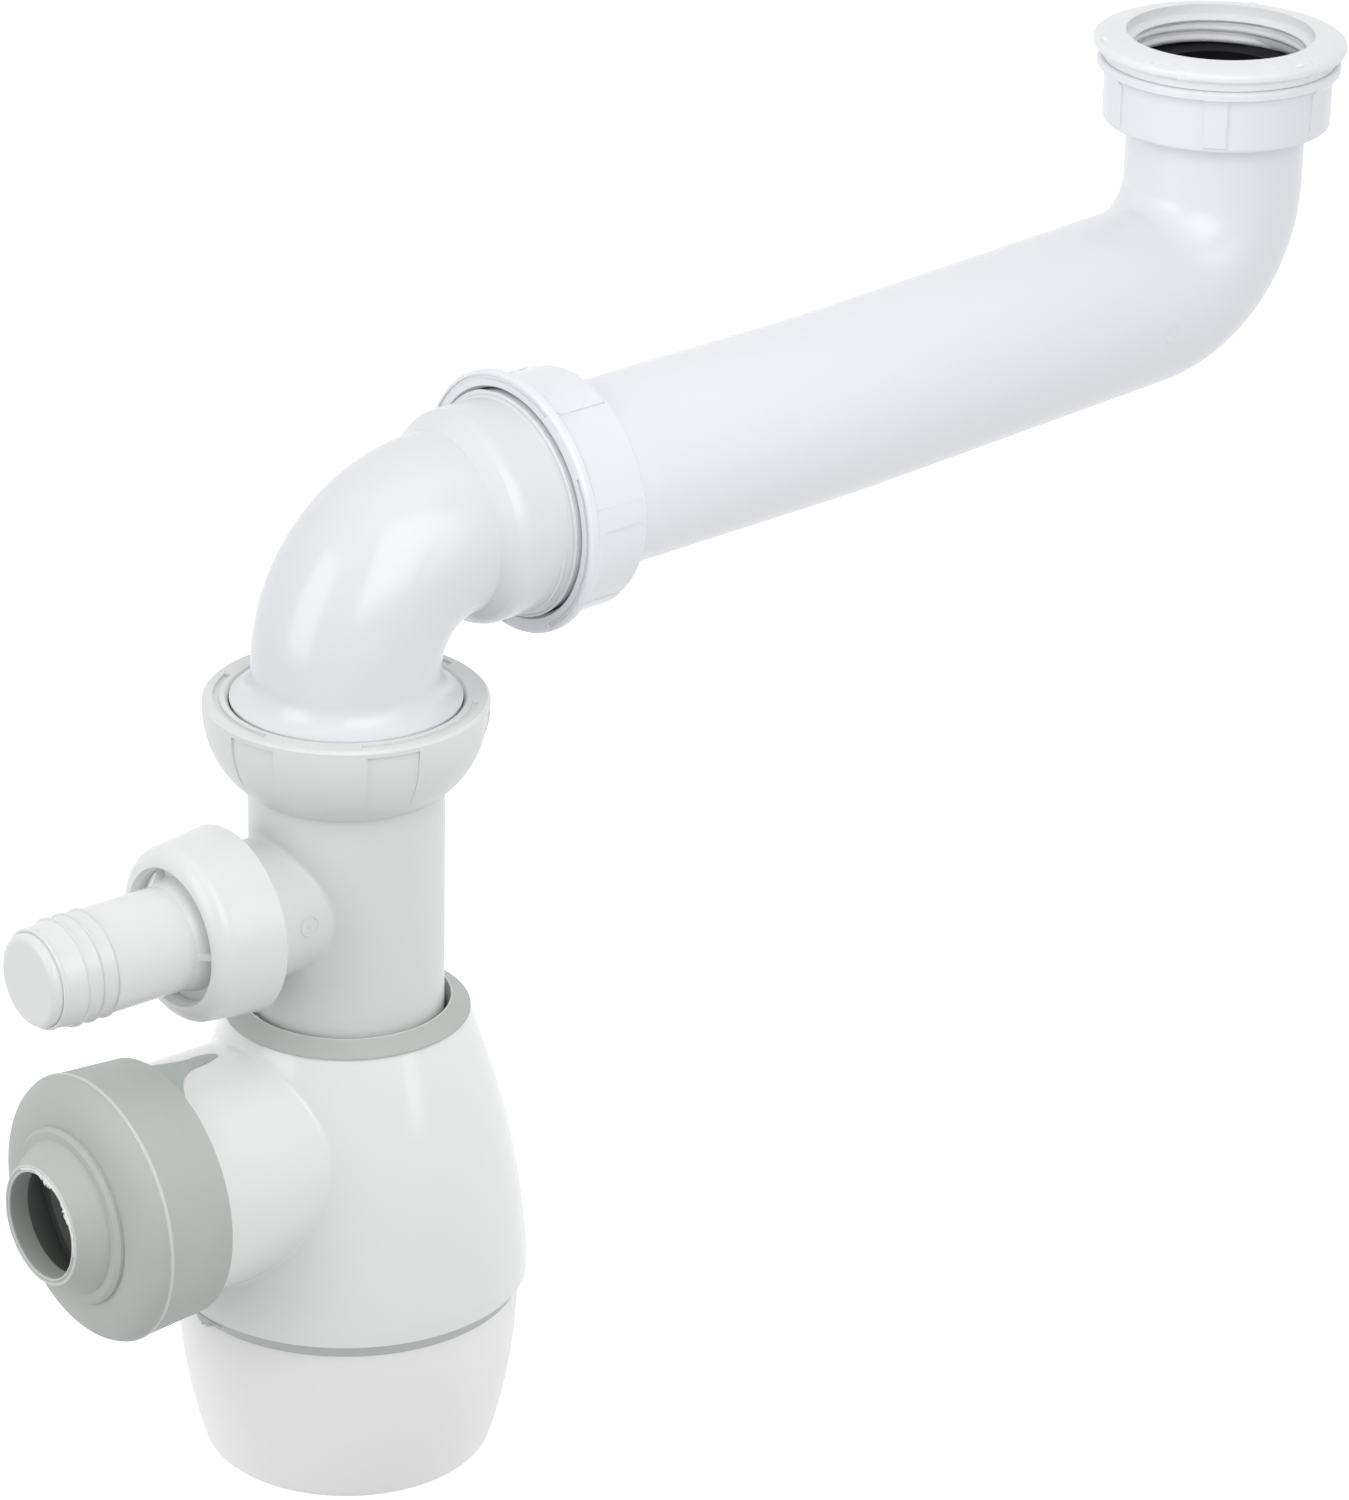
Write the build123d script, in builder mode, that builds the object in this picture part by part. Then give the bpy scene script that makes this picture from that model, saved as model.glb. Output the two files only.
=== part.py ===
from build123d import *
import os
from math import cos, radians, sin, sqrt, tan

# Space-saving basin trap: inlet bush, offset arm, elbow, dip tube with an appliance branch,
# and a bottle with a screwed cup and a soft outlet cuff. Millimetres, +Z up, with the origin
# at the centre of the inlet mouth and the bottle on the -X side. Threads are left plain.

os.makedirs("parts", exist_ok=True)

# Layout
arm_reach = 241.3  # inlet axis to bottle axis
inlet_drop = 56.1  # inlet mouth to the arm's axis, on the inlet axis
kink_from_inlet = 112.6  # where the fall of the arm eases
inlet_side_fall = 3.53  # degrees
elbow_side_fall = 1.55  # degrees
elbow_drop = 31.4  # arm's axis to the rim of the tube nut, on the bottle axis
branch_drop = 42.5  # rim of the tube nut to the branch's axis
neck_drop = 71.2  # rim of the tube nut to the neck face of the bottle
body_height = 60.8  # neck face to the seam over the cup
cup_depth = 41.7  # seam to the underside of the cup
outlet_drop = 27.1  # neck face to the outlet's axis

# Clearances
turn_gap = 0.4  # round a piece that turns or slides in another
seat_gap = 0.1  # between flat faces of pieces that turn on each other
bond_gap = 0.05  # round a piece that is pressed on another

# Pipework
pipe_r = 20.0
pipe_wall = 2.0
inlet_bend_r = 24.0
kink_bend_r = 400.0
pipe_end_chamfer = 1.0
union_flange_r = 23.4  # collar that a union nut pulls up
union_flange_thick = 3.0
union_thread_r = 23.9

# Reducer bush
bush_bore_r = 21.0
bush_rim_r = 28.2
bush_crown_height = 1.4  # mouth above the edge of the rim
bush_crown_bulge = 0.35
bush_rim_thick = 2.0
bush_rim_round = 0.9
bush_groove_r = 26.0
bush_groove_height = 2.2

# Union nuts of the arm
nut_end_thick = 3.4
nut_end_round = 0.8
nut_body_r = 25.5
nut_rim_thick = 1.8
nut_rim_round = 0.8
nut_mouth_depth = 1.4
nut_mouth_spread = 0.7
nut_rib_count = 6
nut_rib_angle = 11.4
nut_rib_height = 0.45
nut_rib_foot = 0.5  # slope at the rib's lower end
inlet_nut_length = 14.3
inlet_nut_rim_r = 27.2
inlet_nut_slope = 2.6
inlet_nut_phase = 45.0
pipe_nut_length = 16.9
pipe_nut_rim_r = 28.2
pipe_nut_slope = 4.4
pipe_nut_phase = 6.0
pipe_nut_face = 41.5  # along the arm from the bottle axis
rim_pocket_count = 3
rim_pocket_angle = 88.0
rim_pocket_r = 26.8
rim_pocket_width = 1.0
rim_pocket_depth = 0.5

# Gaskets
inlet_gasket_thick = 4.8
inlet_gasket_bore_r = 14.0
tube_gasket_thick = 2.8
branch_gasket_thick = 2.0

# Elbow
elbow_r = 19.7
elbow_bend_r = 25.5
socket_r = 22.9
socket_start = 23.5  # along the arm from the bottle axis
socket_slope_end = 27.6
socket_slope_r = 22.0
socket_shoulder = 30.7
socket_shoulder_r = 5.0
socket_stop = 31.0
socket_thread_start = 39.8
socket_end = 50.2
socket_mouth_chamfer = 2.2
pipe_end_gap = 0.8
skirt_height = 5.0
skirt_r = 24.1
skirt_edge = 0.4

# Arm seal
slip_ring_thick = 1.0
seal_nose = 1.6  # nose of the seal inside the socket's mouth
seal_r = 23.6

# Tube nut
bowl_r = 29.7
bowl_rim_thick = 2.4
bowl_rim_edge = 0.6
bowl_height = 19.0
bowl_foot_r = 21.5
bowl_end_thick = 6.4
bowl_mouth_lead = 0.7
bowl_flute_count = 6
bowl_flute_angle = 22.0
bowl_flute_depth = 0.6
bowl_flute_top = 1.5
bowl_flute_foot = 15.4  # depth below the rim where a flute fades out
bowl_flute_phase = -107.3
bowl_pocket_count = 3
bowl_pocket_angle = 76.0
bowl_pocket_r = 26.8
bowl_pocket_width = 1.4
bowl_pocket_depth = 0.6

# Dip tube and its branch
tube_r = 20.45
tube_wall = 1.9
tube_length = 150.5  # from the top of its collar
boss_r = 14.8
boss_length = 28.2  # from the bottle axis
boss_blend = 1.2
branch_thread_r = 16.6
branch_thread_end = 36.8
branch_bore_r = 9.5

# Branch nut
branch_nut_start = 28.9
branch_nut_length = 16.0
branch_nut_back_r = 20.0
branch_nut_front_r = 18.8
branch_nut_edge = 0.8
branch_nut_round = 3.8
branch_nut_end_thick = 3.0
branch_nut_hole_r = 14.1
branch_nut_lip = 1.4

# Hose tail
tail_collar_r = 16.4
tail_r = 11.1
tail_tip_r = 9.9
tail_tip_round = 1.6
tail_end = 79.6
tail_tip_length = 2.2
tail_tip_shoulder_r = 10.4
tail_barb_r = 11.15
tail_root_r = 10.55
tail_barb_pitch = 3.6
tail_barb_count = 3
tail_barb_start = 64.4
tail_wall = 1.8
tail_end_wall = 2.0
tail_fin_count = 3
tail_fin_thick = 1.3
tail_fin_reach = 13.5
tail_fin_crest = 1.6
tail_fin_length = 4.0
tail_fin_phase = -90.0
tail_foot_r = 12.2
tail_foot_length = 4.2

# Bottle body
neck_r = 25.6
neck_bore_r = 23.5
neck_lip = 3.0
body_r = 38.4
body_bulge = 2.3
body_wall = 2.4
rim_band = 3.2
skirt_wall = 2.9
skirt_bore_depth = 11.0
stub_r = 24.8
stub_wall = 2.4
stub_end = 61.5
stub_blend = 1.5

# Neck seal
neck_seal_r = 26.0
neck_seal_mouth_r = 21.8
neck_seal_height = 2.9
neck_seal_edge = 0.4
neck_seal_depth = 9.0
neck_lip_thick = 1.4
neck_lip_drop = 4.2

# Cup and its seal
cup_seal_inset = 0.4  # inside the body's outline
cup_seal_taper = 1.4
cup_seal_thick = 3.0
cup_neck_height = 10.0
cup_wall = 2.2
cup_shoulder_inset = 1.9  # inside the body's outline
cup_side_bulge = 1.5
cup_taper = 6.3  # inward lean of the side, shoulder to floor
cup_foot_round = 4.0

# Outlet cuff
cuff_r = 28.6
cuff_back_r = 27.6
cuff_start = 49.4
cuff_edge = 65.0  # parting edge of the cuff
cuff_step_r = 18.9
cuff_step = 71.0
cuff_bead = 0.8
cuff_nozzle_r = 12.9
cuff_nozzle_root_r = 16.4
cuff_end = 77.8
cuff_bore_r = 11.5
cuff_bore_length = 4.4
cuff_wall = 2.4

# Frames of the round pieces: z runs along the piece's axis
kink_z = -inlet_drop - kink_from_inlet * tan(radians(inlet_side_fall))
arm_z = kink_z - (arm_reach - kink_from_inlet) * tan(radians(elbow_side_fall))
rim_z = arm_z - elbow_drop
neck_z = rim_z - neck_drop
seam_z = neck_z - body_height
arm_way = Vector(cos(radians(elbow_side_fall)), 0, sin(radians(elbow_side_fall)))
bottle_x = -arm_reach

inlet_frame = Plane.XY
arm_frame = Plane((bottle_x, 0, arm_z), x_dir=(0, 1, 0), z_dir=arm_way)
rim_frame = Plane((bottle_x, 0, rim_z))
neck_frame = Plane((bottle_x, 0, neck_z))
seam_frame = Plane((bottle_x, 0, seam_z))
branch_frame = Plane((bottle_x, 0, rim_z - branch_drop), x_dir=(0, 0, 1), z_dir=(-1, 0, 0))
outlet_frame = Plane((bottle_x, 0, neck_z - outlet_drop), x_dir=(0, 0, 1), z_dir=(-1, 0, 0))


def half_section(frame: Plane, turn: float = 0.0) -> Plane:
    """Plane through a piece's axis: its x runs out from the axis and its y along it."""
    turned = Plane(frame.location * Rotation(0, 0, turn))
    return Plane(turned.origin, x_dir=turned.x_dir, z_dir=-turned.y_dir)


def turning_axis(frame: Plane) -> Axis:
    """Axis that a round piece is turned about."""
    return Axis(frame.origin, frame.z_dir)


def flat_ring(frame: Plane, bore_r: float, outer_r: float, thick: float) -> Part:
    """Plain washer that stands on the frame's plane."""
    with BuildPart() as ring:
        with BuildSketch(frame):
            Circle(outer_r)
            Circle(bore_r, mode=Mode.SUBTRACT)
        extrude(amount=thick)
    return ring.part


def arc_pockets(frame: Plane, count: int, angle: float, mid_r: float, width: float, depth: float) -> Part:
    """Shallow curved pockets sunk into the frame's plane, evenly spaced about its axis."""
    with BuildPart() as pockets:
        for index in range(count):
            with BuildSketch(half_section(frame, index * 360 / count)):
                with Locations((mid_r, 0)):
                    Rectangle(width, 2 * depth)
            revolve(axis=turning_axis(frame), revolution_arc=angle)
    return pockets.part


# Union nut: its open rim lies on the frame's plane and its closed end below
def union_nut(frame: Plane, length: float, rim_r: float, slope: float, phase: float) -> Part:
    """Ribbed collar nut of a pipe union, with its first rib at the given angle."""
    bore_r = union_thread_r + turn_gap
    hole_r = pipe_r + turn_gap
    slope_end = -nut_rim_thick - slope
    rib_r = nut_body_r + nut_rib_height
    with BuildPart() as nut:
        with BuildSketch(half_section(frame)):
            with BuildLine():
                Polyline(
                    (nut_body_r - nut_end_round, -length),
                    (hole_r, -length),
                    (hole_r, nut_end_thick - length),
                    (bore_r, nut_end_thick - length),
                    (bore_r, -nut_mouth_depth),
                    (bore_r + nut_mouth_spread, 0),
                    (rim_r - nut_rim_round, 0),
                )
                RadiusArc((rim_r - nut_rim_round, 0), (rim_r, -nut_rim_round), nut_rim_round)
                Line((rim_r, -nut_rim_round), (rim_r, -nut_rim_thick))
                TangentArc((nut_body_r, slope_end), (rim_r, -nut_rim_thick), tangent=(0, 1))
                Line((nut_body_r, slope_end), (nut_body_r, nut_end_round - length))
                RadiusArc(
                    (nut_body_r, nut_end_round - length),
                    (nut_body_r - nut_end_round, -length),
                    nut_end_round,
                )
            make_face()
        revolve(axis=turning_axis(frame))
        for index in range(nut_rib_count):
            rib_turn = phase + index * 360 / nut_rib_count - nut_rib_angle / 2
            with BuildSketch(half_section(frame, rib_turn)):
                with BuildLine():
                    TangentArc((rib_r, slope_end), (rim_r, -nut_rim_thick), tangent=(0, 1))
                    Polyline(
                        (rim_r, -nut_rim_thick),
                        (bore_r + nut_rib_height, -nut_rim_thick),
                        (bore_r + nut_rib_height, nut_end_round - length),
                        (nut_body_r, nut_end_round - length),
                        (rib_r, nut_end_round + nut_rib_foot - length),
                        (rib_r, slope_end),
                    )
                make_face()
            revolve(axis=turning_axis(frame), revolution_arc=nut_rib_angle)
    return nut.part


# Inlet union: heights below the mouth
bush_edge_z = -bush_crown_height - bush_rim_thick
inlet_nut_z = bush_edge_z - bush_groove_height - seat_gap
inlet_seat_z = inlet_nut_z - inlet_nut_length + nut_end_thick
collar_top_z = inlet_seat_z + union_flange_thick
bush_end_z = collar_top_z + inlet_gasket_thick

# Reducer bush: crowned rim, grip groove, plain stand-ins for its outer and inner threads
with BuildPart() as reducer_bush:
    with BuildSketch(half_section(inlet_frame)):
        with BuildLine():
            SagittaArc((bush_bore_r, 0), (bush_rim_r, -bush_crown_height), bush_crown_bulge)
            Polyline(
                (bush_rim_r, -bush_crown_height),
                (bush_rim_r, bush_edge_z),
                (bush_groove_r, bush_edge_z),
                (bush_groove_r, bush_edge_z - bush_groove_height),
                (union_thread_r, bush_edge_z - bush_groove_height),
                (union_thread_r, bush_end_z),
                (bush_bore_r, bush_end_z),
                (bush_bore_r, 0),
            )
        make_face()
    revolve(axis=turning_axis(inlet_frame))
    rim_edges = reducer_bush.edges().filter_by(GeomType.CIRCLE).group_by(SortBy.RADIUS)[-1]
    fillet(rim_edges, radius=bush_rim_round)
reducer_bush.part.label = "reducer_bush"

# Inlet gasket: thick washer between the bush and the arm's collar
with BuildPart() as inlet_gasket:
    add(flat_ring(Plane.XY.offset(collar_top_z), inlet_gasket_bore_r, union_flange_r, inlet_gasket_thick))
inlet_gasket.part.label = "inlet_gasket"

# Inlet nut
with BuildPart() as inlet_nut:
    inlet_nut_frame = Plane.XY.offset(inlet_nut_z)
    add(union_nut(inlet_nut_frame, inlet_nut_length, inlet_nut_rim_r, inlet_nut_slope, inlet_nut_phase))
inlet_nut.part.label = "inlet_nut"

# Offset arm: one bent pipe with a collar at the inlet and a chamfered end in the elbow
arm_end = arm_frame.from_local_coords((0, 0, socket_stop + pipe_end_gap))
pipe_bore_r = pipe_r - pipe_wall
with BuildPart() as offset_pipe:
    with BuildLine(Plane.XZ):
        FilletPolyline(
            (0, collar_top_z),
            (0, -inlet_drop),
            (-kink_from_inlet, kink_z),
            (arm_end.X, arm_end.Z),
            radius=[inlet_bend_r, kink_bend_r],
        )
    with BuildSketch(Plane.XY.offset(collar_top_z)):
        Circle(pipe_r)
        Circle(pipe_bore_r, mode=Mode.SUBTRACT)
    sweep()
    chamfer(offset_pipe.edges().filter_by(GeomType.CIRCLE).group_by(Axis.X)[0].sort_by(SortBy.RADIUS)[-1],
            length=pipe_end_chamfer)
    add(flat_ring(Plane.XY.offset(inlet_seat_z), pipe_r - pipe_wall / 2, union_flange_r, union_flange_thick))
offset_pipe.part.label = "offset_pipe"

# Arm nut: its open rim faces the elbow
pipe_nut_frame = Plane(arm_frame.from_local_coords((0, 0, pipe_nut_face)), x_dir=(0, 1, 0), z_dir=-arm_way)
with BuildPart() as pipe_nut:
    add(union_nut(pipe_nut_frame, pipe_nut_length, pipe_nut_rim_r, pipe_nut_slope, pipe_nut_phase))
    add(
        arc_pockets(pipe_nut_frame, rim_pocket_count, rim_pocket_angle, rim_pocket_r, rim_pocket_width,
                    rim_pocket_depth),
        mode=Mode.SUBTRACT,
    )
pipe_nut.part.label = "pipe_nut"

# Slip ring: thin washer that lets the arm nut turn on the seal
pipe_nut_seat = pipe_nut_face + pipe_nut_length - nut_end_thick
slip_ring_start = pipe_nut_seat - seat_gap - slip_ring_thick
with BuildPart() as pipe_slip_ring:
    add(flat_ring(arm_frame.offset(slip_ring_start), pipe_r + bond_gap, seal_r, slip_ring_thick))
pipe_slip_ring.part.label = "pipe_slip_ring"

# Arm seal: tapered ring whose nose sits in the socket's mouth
socket_bore_r = pipe_r + turn_gap
socket_lip_r = socket_bore_r + socket_mouth_chamfer
with BuildPart() as pipe_seal:
    with BuildSketch(half_section(arm_frame)):
        Polygon(
            (pipe_r + bond_gap, socket_end - seal_nose),
            (socket_lip_r - seal_nose - turn_gap, socket_end - seal_nose),
            (socket_lip_r - turn_gap, socket_end + seat_gap),
            (seal_r, socket_end + seat_gap),
            (seal_r, slip_ring_start),
            (pipe_r + bond_gap, slip_ring_start),
            align=None,
        )
    revolve(axis=turning_axis(arm_frame))
pipe_seal.part.label = "pipe_seal"

# Tube union: heights about the rim of the tube nut
tube_seat_z = rim_z - bowl_height + bowl_end_thick
tube_top_z = tube_seat_z + union_flange_thick
spigot_end_z = tube_top_z + tube_gasket_thick

# Elbow: swept bend, stepped socket for the arm and a skirted spigot for the tube nut
elbow_bore_r = elbow_r - pipe_wall
elbow_mid_r = elbow_r - pipe_wall / 2  # inside the wall, where the revolved ends join the bend
with BuildPart() as elbow:
    socket_root = arm_frame.from_local_coords((0, 0, socket_stop))
    with BuildLine(Plane.XZ):
        FilletPolyline(
            (bottle_x, spigot_end_z),
            (bottle_x, arm_z),
            (socket_root.X, socket_root.Z),
            radius=elbow_bend_r,
        )
    with BuildSketch(Plane((bottle_x, 0, spigot_end_z))):
        Circle(elbow_r)
        Circle(elbow_bore_r, mode=Mode.SUBTRACT)
    sweep()
    with BuildSketch(half_section(arm_frame)):
        with BuildLine():
            RadiusArc((socket_slope_r, socket_slope_end), (socket_r, socket_shoulder), -socket_shoulder_r)
            Polyline(
                (socket_r, socket_shoulder),
                (socket_r, socket_thread_start),
                (union_thread_r, socket_thread_start + union_thread_r - socket_r),
                (union_thread_r, socket_end),
                (socket_lip_r, socket_end),
                (socket_bore_r, socket_end - socket_mouth_chamfer),
                (socket_bore_r, socket_stop),
                (elbow_mid_r, socket_stop),
                (elbow_mid_r, socket_start),
                (socket_slope_r, socket_slope_end),
            )
        make_face()
    revolve(axis=turning_axis(arm_frame))
    with BuildSketch(half_section(rim_frame)):
        with BuildLine():
            TangentArc((elbow_r, skirt_height), (skirt_r, 0), tangent=(0, -1))
            Polyline(
                (skirt_r, 0),
                (skirt_r, -skirt_edge),
                (union_thread_r, -skirt_edge),
                (union_thread_r, spigot_end_z - rim_z),
                (elbow_mid_r, spigot_end_z - rim_z),
                (elbow_mid_r, skirt_height),
                (elbow_r, skirt_height),
            )
        make_face()
    revolve(axis=turning_axis(rim_frame))
elbow.part.label = "elbow"

# Tube gasket
with BuildPart() as tube_gasket:
    add(flat_ring(Plane((bottle_x, 0, tube_top_z)), elbow_bore_r, union_flange_r, tube_gasket_thick))
tube_gasket.part.label = "tube_gasket"

# Tube nut: bowl-shaped nut with shallow grip flutes
bowl_bore_r = union_thread_r + turn_gap
bowl_hole_r = tube_r + turn_gap
bowl_inset = bowl_r - bowl_foot_r
bowl_side_r = (bowl_inset**2 + (bowl_height - bowl_rim_thick) ** 2) / (2 * bowl_inset)
flute_foot_r = bowl_r - bowl_side_r + sqrt(bowl_side_r**2 - (bowl_flute_foot - bowl_rim_thick) ** 2)
with BuildPart() as tube_nut:
    with BuildSketch(half_section(rim_frame)):
        with BuildLine():
            Polyline(
                (bowl_foot_r, -bowl_height),
                (bowl_hole_r, -bowl_height),
                (bowl_hole_r, bowl_end_thick - bowl_height),
                (bowl_bore_r, bowl_end_thick - bowl_height),
                (bowl_bore_r, -bowl_mouth_lead),
                (bowl_bore_r + bowl_mouth_lead, 0),
                (bowl_r - bowl_rim_edge, 0),
                (bowl_r, -bowl_rim_edge),
                (bowl_r, -bowl_rim_thick),
            )
            TangentArc((bowl_r, -bowl_rim_thick), (bowl_foot_r, -bowl_height), tangent=(0, -1))
        make_face()
    revolve(axis=turning_axis(rim_frame))
    for flute in range(bowl_flute_count):
        flute_turn = bowl_flute_phase + flute * 360 / bowl_flute_count - bowl_flute_angle / 2
        with BuildSketch(half_section(rim_frame, flute_turn)):
            with BuildLine():
                RadiusArc((bowl_r - bowl_flute_depth, -bowl_flute_top), (flute_foot_r, -bowl_flute_foot), bowl_side_r)
                Polyline(
                    (flute_foot_r, -bowl_flute_foot),
                    (bowl_r, -bowl_flute_foot),
                    (bowl_r, -bowl_flute_top),
                    (bowl_r - bowl_flute_depth, -bowl_flute_top),
                )
            make_face()
        revolve(axis=turning_axis(rim_frame), revolution_arc=bowl_flute_angle, mode=Mode.SUBTRACT)
    add(
        arc_pockets(rim_frame, bowl_pocket_count, bowl_pocket_angle, bowl_pocket_r, bowl_pocket_width,
                    bowl_pocket_depth),
        mode=Mode.SUBTRACT,
    )
tube_nut.part.label = "tube_nut"

# Dip tube: collared tube with a branch boss and its threaded spigot
tube_top_frame = Plane((bottle_x, 0, tube_top_z))
with BuildPart() as dip_tube:
    with BuildSketch(tube_top_frame):
        Circle(tube_r)
    extrude(amount=-tube_length)
    with BuildSketch(tube_top_frame):
        Circle(union_flange_r)
    extrude(amount=-union_flange_thick)
    with BuildSketch(branch_frame):
        Circle(boss_r)
    extrude(amount=boss_length)
    boss_joint = dip_tube.edges().filter_by(GeomType.BSPLINE)
    fillet(boss_joint, radius=boss_blend)
    with BuildSketch(branch_frame.offset(boss_length)):
        Circle(branch_thread_r)
    extrude(amount=branch_thread_end - boss_length)
    with BuildSketch(branch_frame):
        Circle(branch_bore_r)
    extrude(amount=branch_thread_end, mode=Mode.SUBTRACT)
    with BuildSketch(tube_top_frame):
        Circle(tube_r - tube_wall)
    extrude(amount=-tube_length, mode=Mode.SUBTRACT)
dip_tube.part.label = "dip_tube"

# Branch gasket
with BuildPart() as branch_gasket:
    add(flat_ring(branch_frame.offset(branch_thread_end), branch_bore_r, tail_collar_r, branch_gasket_thick))
branch_gasket.part.label = "branch_gasket"

# Branch nut: tapered, with a rounded front edge
branch_nut_end = branch_nut_start + branch_nut_length
branch_nut_bore_r = branch_thread_r + turn_gap
branch_nut_seat = branch_nut_end - branch_nut_end_thick
with BuildPart() as branch_nut:
    with BuildSketch(half_section(branch_frame)):
        with BuildLine():
            Polyline(
                (branch_nut_front_r - branch_nut_round, branch_nut_end),
                (branch_nut_hole_r + branch_nut_lip / 2, branch_nut_end),
                (branch_nut_hole_r, branch_nut_end - branch_nut_lip),
                (branch_nut_hole_r, branch_nut_seat),
                (branch_nut_bore_r, branch_nut_seat),
                (branch_nut_bore_r, branch_nut_start),
                (branch_nut_back_r - branch_nut_edge, branch_nut_start),
                (branch_nut_back_r, branch_nut_start + branch_nut_edge),
                (branch_nut_front_r, branch_nut_end - branch_nut_round),
            )
            RadiusArc(
                (branch_nut_front_r, branch_nut_end - branch_nut_round),
                (branch_nut_front_r - branch_nut_round, branch_nut_end),
                -branch_nut_round,
            )
        make_face()
    revolve(axis=turning_axis(branch_frame))
branch_nut.part.label = "branch_nut"

# Hose tail: collar, finned foot, hose land, barbs and a closed tip that is cut off in use
tail_start = branch_thread_end + branch_gasket_thick
tail_collar_end = branch_nut_seat - seat_gap
last_barb = tail_barb_start + (tail_barb_count - 1) * tail_barb_pitch
with BuildPart() as hose_tail:
    with BuildSketch(half_section(branch_frame)):
        with BuildLine():
            outline = [(0, tail_end), (0, tail_end - tail_end_wall)]
            outline += [(tail_tip_r - tail_wall, tail_end - tail_end_wall), (tail_r - tail_wall, tail_start)]
            outline += [(tail_collar_r, tail_start), (tail_collar_r, tail_collar_end)]
            outline += [(tail_foot_r, tail_collar_end), (tail_r, tail_collar_end + tail_foot_length)]
            outline += [(tail_r, tail_barb_start)]
            for barb in range(tail_barb_count - 1):
                barb_z = tail_barb_start + barb * tail_barb_pitch
                outline += [(tail_barb_r, barb_z), (tail_root_r, barb_z + tail_barb_pitch)]
            outline += [(tail_barb_r, last_barb), (tail_tip_shoulder_r, tail_end - tail_tip_length)]
            outline += [(tail_tip_r, tail_end - tail_tip_length)]
            outline += [(tail_tip_r, tail_end - tail_tip_round)]
            Polyline(*outline)
            RadiusArc((tail_tip_r, tail_end - tail_tip_round), (tail_tip_r - tail_tip_round, tail_end), -tail_tip_round)
            Line((tail_tip_r - tail_tip_round, tail_end), (0, tail_end))
        make_face()
    revolve(axis=turning_axis(branch_frame))
    for fin in range(tail_fin_count):
        with BuildSketch(half_section(branch_frame, tail_fin_phase + fin * 360 / tail_fin_count)):
            Polygon(
                (tail_r - tail_wall / 2, tail_collar_end),
                (tail_fin_reach, tail_collar_end),
                (tail_fin_reach, tail_collar_end + tail_fin_crest),
                (tail_r, tail_collar_end + tail_fin_length),
                (tail_r - tail_wall / 2, tail_collar_end + tail_fin_length),
                align=None,
            )
        extrude(amount=tail_fin_thick / 2, both=True)
hose_tail.part.label = "hose_tail"

# Bottle body: bulged dome on a screwed skirt, with the outlet stub through its side
skirt_bore_r = body_r - skirt_wall
with BuildPart() as bottle_body:
    with BuildSketch(half_section(seam_frame)):
        with BuildLine():
            Polyline((0, body_height), (neck_r, body_height))
            SagittaArc((neck_r, body_height), (body_r, rim_band), body_bulge)
            Polyline((body_r, rim_band), (body_r, 0), (0, 0), (0, body_height))
        make_face()
    revolve(axis=turning_axis(seam_frame))
    with BuildSketch(outlet_frame):
        Circle(stub_r)
    extrude(amount=stub_end)
    stub_joint = bottle_body.edges().filter_by(GeomType.BSPLINE)
    fillet(stub_joint, radius=stub_blend)
    with BuildSketch(half_section(seam_frame)):
        with BuildLine():
            Polyline((0, body_height - neck_lip), (neck_r - body_wall, body_height - neck_lip))
            SagittaArc((neck_r - body_wall, body_height - neck_lip), (skirt_bore_r, skirt_bore_depth), body_bulge)
            Polyline((skirt_bore_r, skirt_bore_depth), (skirt_bore_r, 0), (0, 0), (0, body_height - neck_lip))
        make_face()
    revolve(axis=turning_axis(seam_frame), mode=Mode.SUBTRACT)
    with BuildSketch(seam_frame.offset(body_height)):
        Circle(neck_bore_r)
    extrude(amount=-neck_seal_depth - turn_gap, mode=Mode.SUBTRACT)
    with BuildSketch(outlet_frame.offset(tube_r)):
        Circle(stub_r - stub_wall)
    extrude(amount=stub_end - tube_r, mode=Mode.SUBTRACT)
bottle_body.part.label = "bottle_body"

# Neck seal: soft ring on the neck face, with a sleeve and a lip that wipes the tube
neck_lip_r = tube_r + turn_gap
neck_sleeve_r = neck_bore_r - turn_gap
with BuildPart() as neck_seal:
    with BuildSketch(half_section(neck_frame)):
        Polygon(
            (neck_seal_mouth_r, neck_seal_height),
            (neck_seal_mouth_r + neck_seal_edge, neck_seal_height),
            (neck_seal_r, neck_seal_edge + seat_gap),
            (neck_seal_r, seat_gap),
            (neck_sleeve_r, seat_gap),
            (neck_sleeve_r, -neck_seal_depth),
            (neck_sleeve_r - neck_lip_thick, -neck_seal_depth),
            (neck_lip_r, -neck_lip_drop - neck_lip_thick),
            (neck_lip_r, -neck_lip_drop),
            (neck_seal_mouth_r - neck_lip_thick / 2, 0),
            align=None,
        )
    revolve(axis=turning_axis(neck_frame))
neck_seal.part.label = "neck_seal"

# Cup seal: soft ring between the body's skirt and the cup's shoulder
cup_seal_r = body_r - cup_seal_inset
with BuildPart() as cup_seal:
    with BuildSketch(half_section(seam_frame)):
        Polygon(
            (skirt_bore_r, -seat_gap),
            (cup_seal_r, -seat_gap),
            (cup_seal_r - cup_seal_taper, -cup_seal_thick),
            (skirt_bore_r, -cup_seal_thick),
            align=None,
        )
    revolve(axis=turning_axis(seam_frame))
cup_seal.part.label = "cup_seal"

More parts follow.
